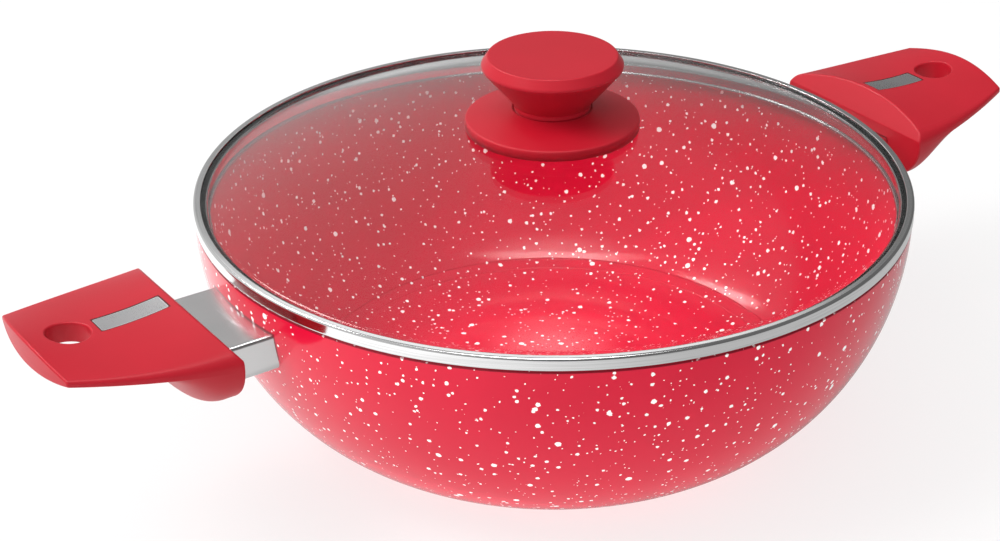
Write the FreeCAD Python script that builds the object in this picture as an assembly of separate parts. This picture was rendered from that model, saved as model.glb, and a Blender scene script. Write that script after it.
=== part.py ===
import FreeCAD, Part

import math
import os

# Two-handled wok with a lift-off glass lid.
# Millimetres. The origin is the middle of the base's resting face. +Z is up, and +X runs from
# handle to handle, towards the right-hand one. The left-hand handle set is the right-hand one
# turned half a turn about Z.

V = FreeCAD.Vector
UP = V(0, 0, 1)
CENTRE = V(0, 0, 0)

# ---- bowl: pressed aluminium with a turned base
RIM_RADIUS = 141.7        # outside, at the rim
BOWL_HEIGHT = 94.25       # base to rim
BASE_RADIUS = 71.1        # where the flat base runs into the wall
WALL_DROP = 53.8          # length of the wall's upright tangent, below the rim
BASE_RUN = 33.4           # length of the wall's level tangent, outside the base
WALL = 3.2                # wall thickness
FLOOR = 4.6               # floor thickness
CREASE_OUT = 27.4         # inside crease between wall and ledge, outside the base
LEDGE_WIDTH = 5.0         # sloping ledge between wall and floor
LEDGE_DROP = 2.4
CREASE_ROUND = 9.0        # radius of the crease and of the ledge's foot
FLAT_FLOOR_IN = 6.1       # edge of the flat floor, inside the base
WALL_STEPS = 10           # spans of the spline that follows the wall inside
RIM_ROUND = 0.8
BASE_RING = 15.1          # width of the ring that the wok stands on
BASE_RECESS = 0.5         # depth of the recess inside that ring
GROOVE_COUNT = 3          # turned grooves in the base
GROOVE_WIDTH = 1.6
GROOVE_DEPTH = 0.4

# ---- lid: dished glass in a rolled steel rim
STRIP = 0.6               # rim strip thickness
RIM_OVERHANG = 0.3        # rim outside the bowl, all round
RIM_BAND = 5.15           # height of the outer band
RIM_FLANGE = 3.0          # width of the flange on top of the glass
SKIRT_GAP = 2.3           # between the skirt and the inside of the bowl's rim
SKIRT_DEPTH = 5.2         # skirt below the bowl's rim
CURL_REACH = 0.9          # curled foot of the skirt, inside it
CURL_HEIGHT = 1.4
CURL_ROUND = 0.6
RIM_CORNER = 1.0          # outside radius of the strip's folds
GLASS_GAP = 0.4           # between the glass's edge and the band
GLASS_FLAT = 4.5          # flat border of the glass, inside the band
DOME_RISE = 25.6          # of the glass, above its flat border
DOME_BLEND = 6.0          # radius between border and dome
GLASS_HOLE_RADIUS = 5.0

# ---- knob
KNOB_BASE_RADIUS = 34.2
KNOB_BASE_EDGE = 3.9      # height of the base's rim above the glass
KNOB_BASE_RISE = 4.1      # from that rim up to the grip's seat
KNOB_EDGE_ROUND = 0.8
FLARE_RUN = 6.5           # the base flares up to the stem over this width
FLARE_DROP = 1.1
FLARE_RADIUS = 14.0
SHADOW_GROOVE = 0.8       # V groove in the base under the stem's edge, half width
SHADOW_DEPTH = 0.6
STEM_RADIUS = 15.0
NECK = 2.0                # height of the stem's upright part
NECK_ROUND = 1.5
GRIP_RADIUS = 28.5
GRIP_EDGE_ROUND = 1.4
GRIP_TOP_RADIUS = 25.3
GRIP_CONE = 17.5          # height of the grip's cone
GRIP_BEVEL = 4.1          # height of the bevel above it
SPIGOT_RADIUS = 10.0
SPIGOT_DEPTH = 1.5
SMALL_ROUND = 0.3

# ---- fasteners: M5
SCREW_RADIUS = 2.5
HEAD_RADIUS = 4.5
HEAD_HEIGHT = 3.0
CROSS_WIDTH = 1.2         # of the driver's cross in the head
CROSS_LENGTH = 5.4
CROSS_DEPTH = 1.5
THREAD_GAP = 0.05         # radial, between a screw and what it screws into
HOLE_GAP = 0.4            # radial, between a screw and what it passes through
INSERT_RADIUS = 4.0
INSERT_LENGTH = 11.0
WASHER_RADIUS = 8.0
WASHER_THICKNESS = 1.0
GASKET_RADIUS = 9.0
GASKET_THICKNESS = 1.2
SPRING_WASHER_RADIUS = 4.3
SPRING_WASHER_THICKNESS = 1.2
SPRING_WASHER_GAP = 0.2   # radial, round the screw

# ---- handle: moulded, arched across and saddled along
HANDLE_GAP = 18.4         # from the bowl's rim to the handle's face
HANDLE_LENGTH = 63.9      # from that face to the middle of the tip
PAN_HALF_WIDTH = 42.0     # half width at the pan end, half way and tip
MID_HALF_WIDTH = 36.9
TIP_HALF_WIDTH = 27.3
CREST_DROP = (-0.2, 3.4, 0.2)    # crest below the lid's top: pan end, half way, tip
EDGE_DROP = (8.6, 7.4, 4.3)      # top edge below the lid's top
CORNER = (5.0, 2.6, 0.8)         # rounding between top and side
SIDE_HEIGHT = (0.8, 0.7, 1.2)    # upright side below that rounding
BELLY_FULLNESS = (1.0, 0.72, 0.5)
BULGE_COVER = 6.0         # lowest point of the finger bulge, below the flame guard
BULGE_END = 5.5           # bulge keeps its depth this far from the face
BULGE_FADE = 32.5         # and has faded out here
BULGE_TUCK = 1.2          # underside rises by this towards the face
TUCK_RUN = 8.0            # over this length
THIN_DEPTH = 14.3         # underside below the lid's top, past the bulge
TIP_DEPTH = 10.0          # and at the tip
TIP_BOW = 3.1             # the tip's outline stands out this far in the middle
FACET_DROP = 10.7         # foot of the slanting facet, below the lid's top
FACET_SLOPE = 1.3
FACET_ROUND = 1.2
FACE_ROUND = 0.8          # edge of the face towards the bowl
TIP_ROUND = 0.8
SECTIONS = 14             # of the loft
HANG_HOLE_RADIUS = 8.0
HANG_HOLE_INSET = 16.5    # from the middle of the tip to the hole's axis
HANG_HOLE_ROUND = 0.7

# ---- steel plate let into the top of the handle
PLATE_START = 10.4        # from the handle's face
PLATE_HOLE_GAP = 3.0      # from its outer end to the hanging hole
PLATE_WIDTH = 9.4
PLATE_THICKNESS = 0.8
PLATE_CORNER = 0.8
PLATE_INSET = 0.1         # below the handle's surface
PLATE_GAP = 0.15
PLATE_BED = 0.05          # adhesive film under it

# ---- flame guard, stud and screw between bowl and handle
FITTING_REACH = 20.0      # inside the rim, from where both are made before the bowl trims them
GUARD_WIDTH = 46.0
GUARD_HEIGHT = 16.0
GUARD_TOP_DROP = 15.5     # its top below the lid's top
GUARD_CORNER = 4.5        # lower long edges
GUARD_BEND = 1.5          # upper long edges
GUARD_SHEET = 0.8
GUARD_SEAT = 2.0          # depth of its seat in the handle's face
GUARD_GAP = 0.15
STUD_RADIUS = 5.5
STUD_FLANGE_GAP = 0.3     # between its flange and the guard
STUD_FLANGE_OUT = 0.5     # face of its flange, outside the rim's radius
HEAD_SEAT = 9.0           # plastic between the guard's seat and the screw's head
HEAD_BORE_GAP = 0.7       # radial, round the screw's head
HANDLE_SCREW_LENGTH = 24.0

OVERCUT = 1.0             # how far cutting bodies run past a face
NEAR = 0.01               # how near a size or direction counts as the same

# ---- places worked out from the sizes
CREASE_RADIUS = BASE_RADIUS + CREASE_OUT
FLAT_FLOOR_RADIUS = BASE_RADIUS - FLAT_FLOOR_IN
BASE_RECESS_RADIUS = BASE_RADIUS - BASE_RING
LID_TOP = BOWL_HEIGHT + RIM_BAND
RIM_OUTSIDE = RIM_RADIUS + RIM_OVERHANG
RIM_LEDGE = RIM_OVERHANG + WALL + SKIRT_GAP + STRIP
GLASS_EDGE = RIM_OUTSIDE - STRIP - GLASS_GAP
GLASS_TOP = LID_TOP - STRIP
GLASS_THICKNESS = RIM_BAND - 2 * STRIP
DOME_EDGE = GLASS_EDGE - GLASS_FLAT
DOME_RADIUS = (DOME_EDGE ** 2 + DOME_RISE ** 2) / (2 * DOME_RISE)
DOME_CENTRE = GLASS_TOP + DOME_RISE - DOME_RADIUS
DOME_UNDER = DOME_RADIUS - GLASS_THICKNESS
HANDLE_FACE = RIM_RADIUS + HANDLE_GAP
HANDLE_TIP = HANDLE_FACE + HANDLE_LENGTH
BULGE_DEPTH = GUARD_TOP_DROP + GUARD_HEIGHT + BULGE_COVER
UNDER_HANDLE = LID_TOP - BULGE_DEPTH - OVERCUT
OVER_HANDLE = LID_TOP + OVERCUT
HOLE_AXIS = HANDLE_TIP - HANG_HOLE_INSET
PLATE_END = HOLE_AXIS - HANG_HOLE_RADIUS - PLATE_HOLE_GAP
PLATE_LENGTH = PLATE_END - HANDLE_FACE - PLATE_START
TIP_CURVE = (TIP_HALF_WIDTH ** 2 + TIP_BOW ** 2) / (2 * TIP_BOW)
SCREW_HEIGHT = LID_TOP - GUARD_TOP_DROP - GUARD_HEIGHT / 2.0
GUARD_END = HANDLE_FACE + GUARD_SEAT
HEAD_PLACE = GUARD_END + HEAD_SEAT
FITTING_START = RIM_RADIUS - FITTING_REACH
STUD_FLANGE_RADIUS = GUARD_HEIGHT / 2 - GUARD_SHEET - STUD_FLANGE_GAP
HEAD_BORE_RADIUS = HEAD_RADIUS + HEAD_BORE_GAP


def dome_height(radius, sphere):
    """Height of a sphere about the dome's centre, at a distance from the axis."""
    return DOME_CENTRE + math.sqrt(sphere ** 2 - radius ** 2)


KNOB_BASE_FOOT = dome_height(KNOB_BASE_RADIUS, DOME_RADIUS)
KNOB_BASE_RIM = KNOB_BASE_FOOT + KNOB_BASE_EDGE
GRIP_SEAT = KNOB_BASE_RIM + KNOB_BASE_RISE
GRIP_WIDEST = GRIP_SEAT + GRIP_CONE
GRIP_TOP = GRIP_WIDEST + GRIP_BEVEL
SPIGOT_FOOT = GRIP_SEAT - SPIGOT_DEPTH
GASKET_TOP = dome_height(GASKET_RADIUS, DOME_UNDER)
WASHER_TOP = GASKET_TOP - GASKET_THICKNESS
HEAD_TOP = WASHER_TOP - WASHER_THICKNESS


# ---------------------------------------------------------------- helpers

def rounded_wire(corners):
    """Closed wire in the XZ plane through (x, z, radius) corners, each rounded by an arc."""
    count = len(corners)
    points = [V(x, 0, z) for x, z, _ in corners]
    ends = []
    for i, (_, _, radius) in enumerate(corners):
        here = points[i]
        back = (points[i - 1] - here).normalize()
        ahead = (points[(i + 1) % count] - here).normalize()
        half = back.getAngle(ahead) / 2.0
        reach = radius / math.tan(half)
        middle = here + (back + ahead).normalize() * (radius / math.sin(half) - radius) if radius else here
        ends.append((here + back * reach, middle, here + ahead * reach))
    edges = []
    for i, (start, middle, end) in enumerate(ends):
        if corners[i][2]:
            edges.append(Part.Arc(start, middle, end).toShape())
        edges.append(Part.makeLine(end, ends[(i + 1) % count][0]))
    return Part.Wire(edges)


def turned(wire):
    """Solid of revolution about Z from a closed wire in the XZ plane."""
    return Part.Face(wire).revolve(CENTRE, UP, 360)


def turned_outline(corners):
    return turned(rounded_wire(corners))


def disc(radius, bottom, top, bore=0.0):
    """Cylinder about Z, with a bore where one is given."""
    body = Part.makeCylinder(radius, top - bottom, V(0, 0, bottom), UP)
    if bore:
        body = body.cut(Part.makeCylinder(bore, top - bottom, V(0, 0, bottom), UP))
    return body


def rod(radius, start, end):
    """Cylinder along X at the height of the handle screw."""
    return Part.makeCylinder(radius, end - start, V(start, 0, SCREW_HEIGHT), V(1, 0, 0))


def through(values, share):
    """Quadratic through three values at 0, one half and 1."""
    first, middle, last = values
    return (first * (1 - share) * (1 - 2 * share)
            + 4 * middle * share * (1 - share)
            + last * share * (2 * share - 1))


def smooth_step(value, low, high):
    share = min(max((value - low) / (high - low), 0.0), 1.0)
    return share * share * (3 - 2 * share)


def edges_along(shape, direction):
    """The straight edges of a box that run along a direction."""
    return [edge for edge in shape.Edges
            if abs(edge.tangentAt(edge.FirstParameter).dot(direction)) > 1 - NEAR]


def flat_face(shape, direction):
    """The plane face of a shape that looks along a direction."""
    return next(face for face in shape.Faces
                if isinstance(face.Surface, Part.Plane) and face.normalAt(0, 0).dot(direction) > 1 - NEAR)


def rings(shape, radius):
    """The closed edges of a turned shape that have a radius."""
    return [edge for edge in shape.Edges if edge.Closed and abs(edge.BoundBox.XMax - radius) < NEAR]


def round_face(shape, radius):
    """The cylindrical face of a shape that has a radius."""
    return next(face for face in shape.Faces
                if isinstance(face.Surface, Part.Cylinder) and abs(face.Surface.Radius - radius) < NEAR)


# ---------------------------------------------------------------- bowl

def wall_curve():
    """Outside of the wall, from the rim down into the base."""
    curve = Part.BezierCurve()
    curve.setPoles([
        V(RIM_RADIUS, 0, BOWL_HEIGHT),
        V(RIM_RADIUS, 0, BOWL_HEIGHT - WALL_DROP),
        V(BASE_RADIUS + BASE_RUN, 0, 0),
        V(BASE_RADIUS, 0, 0),
    ])
    return curve


def bowl_outside():
    """The bowl as a filled body, which the fittings are cut to."""
    rim_end = V(RIM_RADIUS, 0, BOWL_HEIGHT)
    rim_middle = V(0, 0, BOWL_HEIGHT)
    return turned(Part.Wire([
        wall_curve().toShape(),
        Part.makeLine(V(BASE_RADIUS, 0, 0), CENTRE),
        Part.makeLine(CENTRE, rim_middle),
        Part.makeLine(rim_middle, rim_end),
    ]))


def bowl_hollow():
    """The space inside the bowl: an even wall, a sloping ledge and a dished floor, softly joined."""
    offset = Part.OffsetCurve(wall_curve(), -WALL, V(0, 1, 0))
    upright = Part.Line(V(CREASE_RADIUS, 0, 0), V(CREASE_RADIUS, 0, BOWL_HEIGHT))
    meeting = offset.intersectCC(upright)[0]
    crease = V(meeting.X, 0, meeting.Z)
    stretch = offset.parameter(crease)
    wall = Part.BSplineCurve()
    wall.interpolate([offset.value(stretch * i / WALL_STEPS) for i in range(WALL_STEPS + 1)])
    top = offset.value(0)
    mouth = V(top.x, 0, BOWL_HEIGHT + WALL)
    mouth_middle = V(0, 0, mouth.z)
    ledge = crease - V(LEDGE_WIDTH, 0, LEDGE_DROP)
    flat = V(FLAT_FLOOR_RADIUS, 0, FLOOR)
    run = ledge.x - flat.x
    rise = ledge.z - flat.z
    dish = (run * run + rise * rise) / (2 * rise)
    half_turn = math.atan2(rise, run)
    dish_middle = flat + V(dish * math.sin(half_turn), 0, dish * (1 - math.cos(half_turn)))
    hollow = turned(Part.Wire([
        Part.makeLine(mouth_middle, mouth),
        Part.makeLine(mouth, top),
        wall.toShape(),
        Part.makeLine(crease, ledge),
        Part.Arc(ledge, dish_middle, flat).toShape(),
        Part.makeLine(flat, V(0, 0, FLOOR)),
        Part.makeLine(V(0, 0, FLOOR), mouth_middle),
    ]))
    return hollow.makeFillet(CREASE_ROUND, rings(hollow, crease.x) + rings(hollow, ledge.x))


def base_turning():
    """What the lathe takes off the base: a shallow recess with grooves in it."""
    turning = disc(BASE_RECESS_RADIUS, -OVERCUT, BASE_RECESS)
    pitch = BASE_RECESS_RADIUS / (GROOVE_COUNT + 1)
    for i in range(1, GROOVE_COUNT + 1):
        groove = disc(i * pitch + GROOVE_WIDTH, -OVERCUT, BASE_RECESS + GROOVE_DEPTH, i * pitch)
        turning = turning.fuse(groove)
    return turning


def wok_bowl():
    bowl = bowl_outside().cut(bowl_hollow()).cut(base_turning())
    rim_edges = [edge for edge in bowl.Edges
                 if edge.Closed and edge.BoundBox.ZMin > BOWL_HEIGHT - NEAR]
    return bowl.makeFillet(RIM_ROUND, rim_edges)


# ---------------------------------------------------------------- lid

def lid_rim():
    """Rolled strip: flange on the glass, outer band, ledge under the glass, and skirt with a curled foot."""
    outside = RIM_OUTSIDE
    band_inside = outside - STRIP
    skirt_inside = outside - RIM_LEDGE
    skirt_foot = BOWL_HEIGHT - SKIRT_DEPTH
    curl_inside = skirt_inside - CURL_REACH
    glass_under = BOWL_HEIGHT + STRIP
    glass_over = LID_TOP - STRIP
    return turned_outline([
        (outside, BOWL_HEIGHT, RIM_CORNER),
        (outside, LID_TOP, RIM_CORNER),
        (outside - RIM_FLANGE, LID_TOP, 0),
        (outside - RIM_FLANGE, glass_over, 0),
        (band_inside, glass_over, 0),
        (band_inside, glass_under, 0),
        (skirt_inside, glass_under, RIM_CORNER),
        (skirt_inside, skirt_foot + CURL_HEIGHT, 0),
        (curl_inside, skirt_foot + CURL_HEIGHT, CURL_ROUND),
        (curl_inside, skirt_foot, CURL_ROUND),
        (skirt_inside + STRIP, skirt_foot, 0),
        (skirt_inside + STRIP, BOWL_HEIGHT, RIM_CORNER - STRIP),
    ])


def glass_filled(top, sphere):
    """Everything under a flat border that rises into a sphere, from the bowl's rim up."""
    foot = BOWL_HEIGHT
    apex = V(0, 0, DOME_CENTRE + sphere)
    border = math.sqrt(sphere ** 2 - (top - DOME_CENTRE) ** 2)
    middle = border / 2.0
    solid = turned(Part.Wire([
        Part.makeLine(V(0, 0, foot), V(GLASS_EDGE, 0, foot)),
        Part.makeLine(V(GLASS_EDGE, 0, foot), V(GLASS_EDGE, 0, top)),
        Part.makeLine(V(GLASS_EDGE, 0, top), V(border, 0, top)),
        Part.Arc(V(border, 0, top), V(middle, 0, dome_height(middle, sphere)), apex).toShape(),
        Part.makeLine(apex, V(0, 0, foot)),
    ]))
    return solid.makeFillet(DOME_BLEND, rings(solid, border))


def lid_glass():
    upper = glass_filled(GLASS_TOP, DOME_RADIUS)
    lower = glass_filled(GLASS_TOP - GLASS_THICKNESS, DOME_UNDER)
    bore = disc(GLASS_HOLE_RADIUS, BOWL_HEIGHT, GLASS_TOP + DOME_RISE + OVERCUT)
    return upper.cut(lower).cut(bore)


# ---------------------------------------------------------------- knob

def knob_base():
    """Disc that lies on the glass and rises to the grip's seat."""
    foot = KNOB_BASE_FOOT - OVERCUT
    base = turned_outline([
        (0, foot, 0),
        (KNOB_BASE_RADIUS, foot, 0),
        (KNOB_BASE_RADIUS, KNOB_BASE_RIM, KNOB_EDGE_ROUND),
        (STEM_RADIUS + FLARE_RUN, GRIP_SEAT - FLARE_DROP, FLARE_RADIUS),
        (STEM_RADIUS + SHADOW_GROOVE, GRIP_SEAT, SMALL_ROUND),
        (STEM_RADIUS, GRIP_SEAT - SHADOW_DEPTH, 0),
        (STEM_RADIUS - SHADOW_GROOVE, GRIP_SEAT, 0),
        (0, GRIP_SEAT, 0),
    ])
    base = base.cut(glass_filled(GLASS_TOP, DOME_RADIUS))
    base = base.cut(disc(SPIGOT_RADIUS + HOLE_GAP, SPIGOT_FOOT - HOLE_GAP, GRIP_SEAT + OVERCUT))
    return base.cut(disc(SCREW_RADIUS + HOLE_GAP, foot, GRIP_SEAT + OVERCUT))


def knob_grip():
    """Upturned cone with a bevelled edge and a spigot that centres it on the base."""
    grip = turned_outline([
        (0, SPIGOT_FOOT, 0),
        (SPIGOT_RADIUS, SPIGOT_FOOT, 0),
        (SPIGOT_RADIUS, GRIP_SEAT, 0),
        (STEM_RADIUS, GRIP_SEAT, SMALL_ROUND),
        (STEM_RADIUS, GRIP_SEAT + NECK, NECK_ROUND),
        (GRIP_RADIUS, GRIP_WIDEST, GRIP_EDGE_ROUND),
        (GRIP_TOP_RADIUS, GRIP_TOP, KNOB_EDGE_ROUND),
        (0, GRIP_TOP, 0),
    ])
    socket = disc(INSERT_RADIUS + THREAD_GAP, SPIGOT_FOOT, SPIGOT_FOOT + INSERT_LENGTH)
    tip_room = disc(SCREW_RADIUS + THREAD_GAP, GRIP_SEAT, GRIP_SEAT + INSERT_LENGTH)
    return grip.cut(socket).cut(tip_room)


def knob_insert():
    """Brass bush moulded into the grip."""
    return disc(INSERT_RADIUS, SPIGOT_FOOT, SPIGOT_FOOT + INSERT_LENGTH, SCREW_RADIUS + THREAD_GAP)


def pan_head_screw(length):
    """Pan-head screw along +Z from the underside of its head at the origin."""
    head = turned_outline([
        (0, -HEAD_HEIGHT, 0),
        (HEAD_RADIUS, -HEAD_HEIGHT, HEAD_HEIGHT / 2.0),
        (HEAD_RADIUS, 0, 0),
        (0, 0, 0),
    ])
    shank = disc(SCREW_RADIUS, 0, length)
    cross = Part.makeBox(CROSS_LENGTH, CROSS_WIDTH, CROSS_DEPTH,
                         V(-CROSS_LENGTH / 2.0, -CROSS_WIDTH / 2.0, -HEAD_HEIGHT))
    cross = cross.fuse(cross.rotated(CENTRE, UP, 90))
    return head.fuse(shank).cut(cross).removeSplitter()


def knob_screw():
    screw = pan_head_screw(SPIGOT_FOOT + INSERT_LENGTH - HEAD_TOP)
    screw.translate(V(0, 0, HEAD_TOP))
    return screw


def knob_washer():
    return disc(WASHER_RADIUS, HEAD_TOP, WASHER_TOP, SCREW_RADIUS + HOLE_GAP)


def knob_gasket():
    """Silicone disc that keeps the washer off the glass."""
    return disc(GASKET_RADIUS, WASHER_TOP, GASKET_TOP, SCREW_RADIUS + HOLE_GAP)


# ---------------------------------------------------------------- right-hand handle set

def handle_section(x):
    """Closed section across the handle: arched top, rounded corners, sides and full belly."""
    share = (x - HANDLE_FACE) / HANDLE_LENGTH
    half = through((PAN_HALF_WIDTH, MID_HALF_WIDTH, TIP_HALF_WIDTH), share)
    crest = LID_TOP - through(CREST_DROP, share)
    edge = LID_TOP - through(EDGE_DROP, share)
    corner = through(CORNER, share)
    arch = (crest - edge) / half ** 2
    inner = half - corner
    shoulder = crest - arch * inner ** 2
    corner_top = shoulder - 2 * arch * inner * corner
    side_top = corner_top - corner
    side_foot = side_top - through(SIDE_HEIGHT, share)
    thin = THIN_DEPTH + (TIP_DEPTH - THIN_DEPTH) * share
    fade = smooth_step(x - HANDLE_FACE, BULGE_END, BULGE_FADE)
    tuck = max(1.0 - (x - HANDLE_FACE) / TUCK_RUN, 0.0)
    depth = BULGE_DEPTH + (thin - BULGE_DEPTH) * fade - BULGE_TUCK * tuck ** 2
    belly_pole = side_foot - (side_foot - LID_TOP + depth) * 4.0 / 3.0
    fullness = half * through(BELLY_FULLNESS, share)

    def curve(*poles):
        bezier = Part.BezierCurve()
        bezier.setPoles([V(x, y, z) for y, z in poles])
        return bezier.toShape()

    return Part.Wire([
        curve((-inner, shoulder), (0, 2 * crest - shoulder), (inner, shoulder)),
        curve((inner, shoulder), (half, corner_top), (half, side_top)),
        curve((half, side_top), (half, side_foot)),
        curve((half, side_foot), (fullness, belly_pole), (-fullness, belly_pole), (-half, side_foot)),
        curve((-half, side_foot), (-half, side_top)),
        curve((-half, side_top), (-half, corner_top), (-inner, shoulder)),
    ])


def handle_blank():
    """The moulded body before its facet, tip outline, hole and seats are cut."""
    end = HANDLE_TIP + TIP_BOW
    step = (end - HANDLE_FACE) / (SECTIONS - 1)
    sections = [handle_section(HANDLE_FACE + step * i) for i in range(SECTIONS)]
    return Part.makeLoft(sections, True, False)


def facet_waste():
    """Wedge above the slanting facet at the pan end."""
    foot = LID_TOP - FACET_DROP
    run = (OVER_HANDLE - foot) / FACET_SLOPE
    side = PAN_HALF_WIDTH + OVERCUT
    profile = Part.makePolygon([
        V(HANDLE_FACE, -side, foot),
        V(HANDLE_FACE + run, -side, OVER_HANDLE),
        V(HANDLE_FACE - run, -side, OVER_HANDLE),
        V(HANDLE_FACE - run, -side, foot),
        V(HANDLE_FACE, -side, foot),
    ])
    return Part.Face(profile).extrude(V(0, 2 * side, 0))


def tip_outline():
    """Upright cylinder whose near side bows the tip, as a body to keep."""
    middle = V(HANDLE_TIP - TIP_CURVE, 0, UNDER_HANDLE)
    return Part.makeCylinder(TIP_CURVE, OVER_HANDLE - UNDER_HANDLE, middle, UP).rotated(middle, UP, 180)


def plate_prism(margin):
    """Upright prism over the plate's outline, widened by a margin."""
    length = PLATE_LENGTH + 2 * margin
    width = PLATE_WIDTH + 2 * margin
    start = HANDLE_FACE + PLATE_START - margin
    prism = Part.makeBox(length, width, OVER_HANDLE - UNDER_HANDLE, V(start, -width / 2, UNDER_HANDLE))
    return prism.makeFillet(PLATE_CORNER + margin, edges_along(prism, UP))


def lowered(shape, depth):
    copy = shape.copy()
    copy.translate(V(0, 0, -depth))
    return copy


def guard_outline(margin, start, end):
    """The flame guard's outer form along X, shrunk or widened by a margin all round."""
    width = GUARD_WIDTH + 2 * margin
    height = GUARD_HEIGHT + 2 * margin
    top = LID_TOP - GUARD_TOP_DROP + margin
    bar = Part.makeBox(end - start, width, height, V(start, -width / 2.0, top - height))
    upper = [edge for edge in edges_along(bar, V(1, 0, 0)) if edge.BoundBox.ZMin > top - NEAR]
    bar = bar.makeFillet(GUARD_BEND + margin, upper)
    lower = [edge for edge in edges_along(bar, V(1, 0, 0)) if edge.BoundBox.ZMax < top - height + NEAR]
    return bar.makeFillet(GUARD_CORNER + margin, lower)


def moulded_body(blank):
    """The blank with its tip outline, facet and hanging hole, and their edges rounded."""
    body = blank.common(tip_outline()).cut(facet_waste())
    facet = flat_face(body, V(-FACET_SLOPE, 0, 1).normalize())
    crest = [edge for edge in facet.Edges if edge.BoundBox.XLength > FACET_ROUND]
    body = body.makeFillet(FACET_ROUND, crest)
    body = body.makeFillet(FACE_ROUND, flat_face(body, V(-1, 0, 0)).Edges)
    body = body.makeFillet(TIP_ROUND, round_face(body, TIP_CURVE).Edges)
    body = body.cut(Part.makeCylinder(HANG_HOLE_RADIUS, OVER_HANDLE - UNDER_HANDLE,
                                      V(HOLE_AXIS, 0, UNDER_HANDLE), UP))
    hole = round_face(body, HANG_HOLE_RADIUS)
    mouths = [edge for edge in hole.Edges if not isinstance(edge.Curve, Part.Line)]
    return body.makeFillet(HANG_HOLE_ROUND, mouths)


def handle():
    blank = handle_blank()
    pocket_floor = lowered(blank, PLATE_INSET + PLATE_THICKNESS + PLATE_BED)
    pocket = plate_prism(PLATE_GAP).cut(pocket_floor)
    body = moulded_body(blank).cut(pocket)
    body = body.cut(guard_outline(GUARD_GAP, HANDLE_FACE - OVERCUT, GUARD_END))
    body = body.cut(rod(SCREW_RADIUS + HOLE_GAP, GUARD_END, HEAD_PLACE))
    return body.cut(rod(HEAD_BORE_RADIUS, HEAD_PLACE, HANDLE_TIP))


def handle_plate():
    """Bare steel plate that follows the handle's top."""
    blank = handle_blank()
    layer = lowered(blank, PLATE_INSET).cut(lowered(blank, PLATE_INSET + PLATE_THICKNESS))
    return layer.common(plate_prism(0.0))


def flame_guard():
    """Sheet sleeve, open towards the bowl, cut to the bowl's wall and closed at the handle."""
    sleeve = guard_outline(0.0, FITTING_START, GUARD_END)
    sleeve = sleeve.cut(guard_outline(-GUARD_SHEET, FITTING_START, GUARD_END - GUARD_SHEET))
    sleeve = sleeve.cut(bowl_outside())
    return sleeve.cut(rod(SCREW_RADIUS + HOLE_GAP, HANDLE_FACE, GUARD_END))


def weld_stud():
    """Flanged stud welded to the bowl, tapped for the handle's screw."""
    end = GUARD_END - GUARD_SHEET
    flange = RIM_RADIUS + STUD_FLANGE_OUT
    stud = rod(STUD_RADIUS, FITTING_START, end).fuse(rod(STUD_FLANGE_RADIUS, FITTING_START, flange))
    stud = stud.cut(bowl_outside())
    return stud.cut(rod(SCREW_RADIUS + THREAD_GAP, flange, end)).removeSplitter()


def spring_washer():
    end = HEAD_PLACE + SPRING_WASHER_THICKNESS
    ring = rod(SPRING_WASHER_RADIUS, HEAD_PLACE, end)
    return ring.cut(rod(SCREW_RADIUS + SPRING_WASHER_GAP, HEAD_PLACE, end))


def handle_screw():
    screw = pan_head_screw(HANDLE_SCREW_LENGTH)
    screw.rotate(CENTRE, V(0, 1, 0), -90)
    screw.translate(V(HEAD_PLACE + SPRING_WASHER_THICKNESS, 0, SCREW_HEIGHT))
    return screw


# ---------------------------------------------------------------- files

CENTRE_PIECES = {
    "wok_bowl": wok_bowl,
    "lid_rim": lid_rim,
    "lid_glass": lid_glass,
    "knob_base": knob_base,
    "knob_grip": knob_grip,
    "knob_insert": knob_insert,
    "knob_screw": knob_screw,
    "knob_washer": knob_washer,
    "knob_gasket": knob_gasket,
}
HANDLE_PIECES = {
    "weld_stud": weld_stud,
    "flame_guard": flame_guard,
    "handle": handle,
    "handle_plate": handle_plate,
    "handle_screw": handle_screw,
    "spring_washer": spring_washer,
}


def write(node, shape):
    """One STEP file of the node's single solid."""
    shape.Solids[0].exportStep("parts/" + node + ".step")


os.makedirs("parts", exist_ok=True)
for node, make in CENTRE_PIECES.items():
    write(node, make())
for node, make in HANDLE_PIECES.items():
    piece = make()
    write("right_" + node, piece)
    write("left_" + node, piece.rotated(CENTRE, UP, 180))
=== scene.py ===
"""Two-handled wok with a lift-off glass lid: surfaces and finishes around its CAD frame.

Laid out as an add-on. Lengths are metres, +Z is up, and +X runs from handle to handle.
"""
import math
from typing import NamedTuple

import bpy
import numpy as np
from bpy.props import FloatProperty, FloatVectorProperty, IntProperty, PointerProperty
from mathutils import Matrix, Vector


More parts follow.
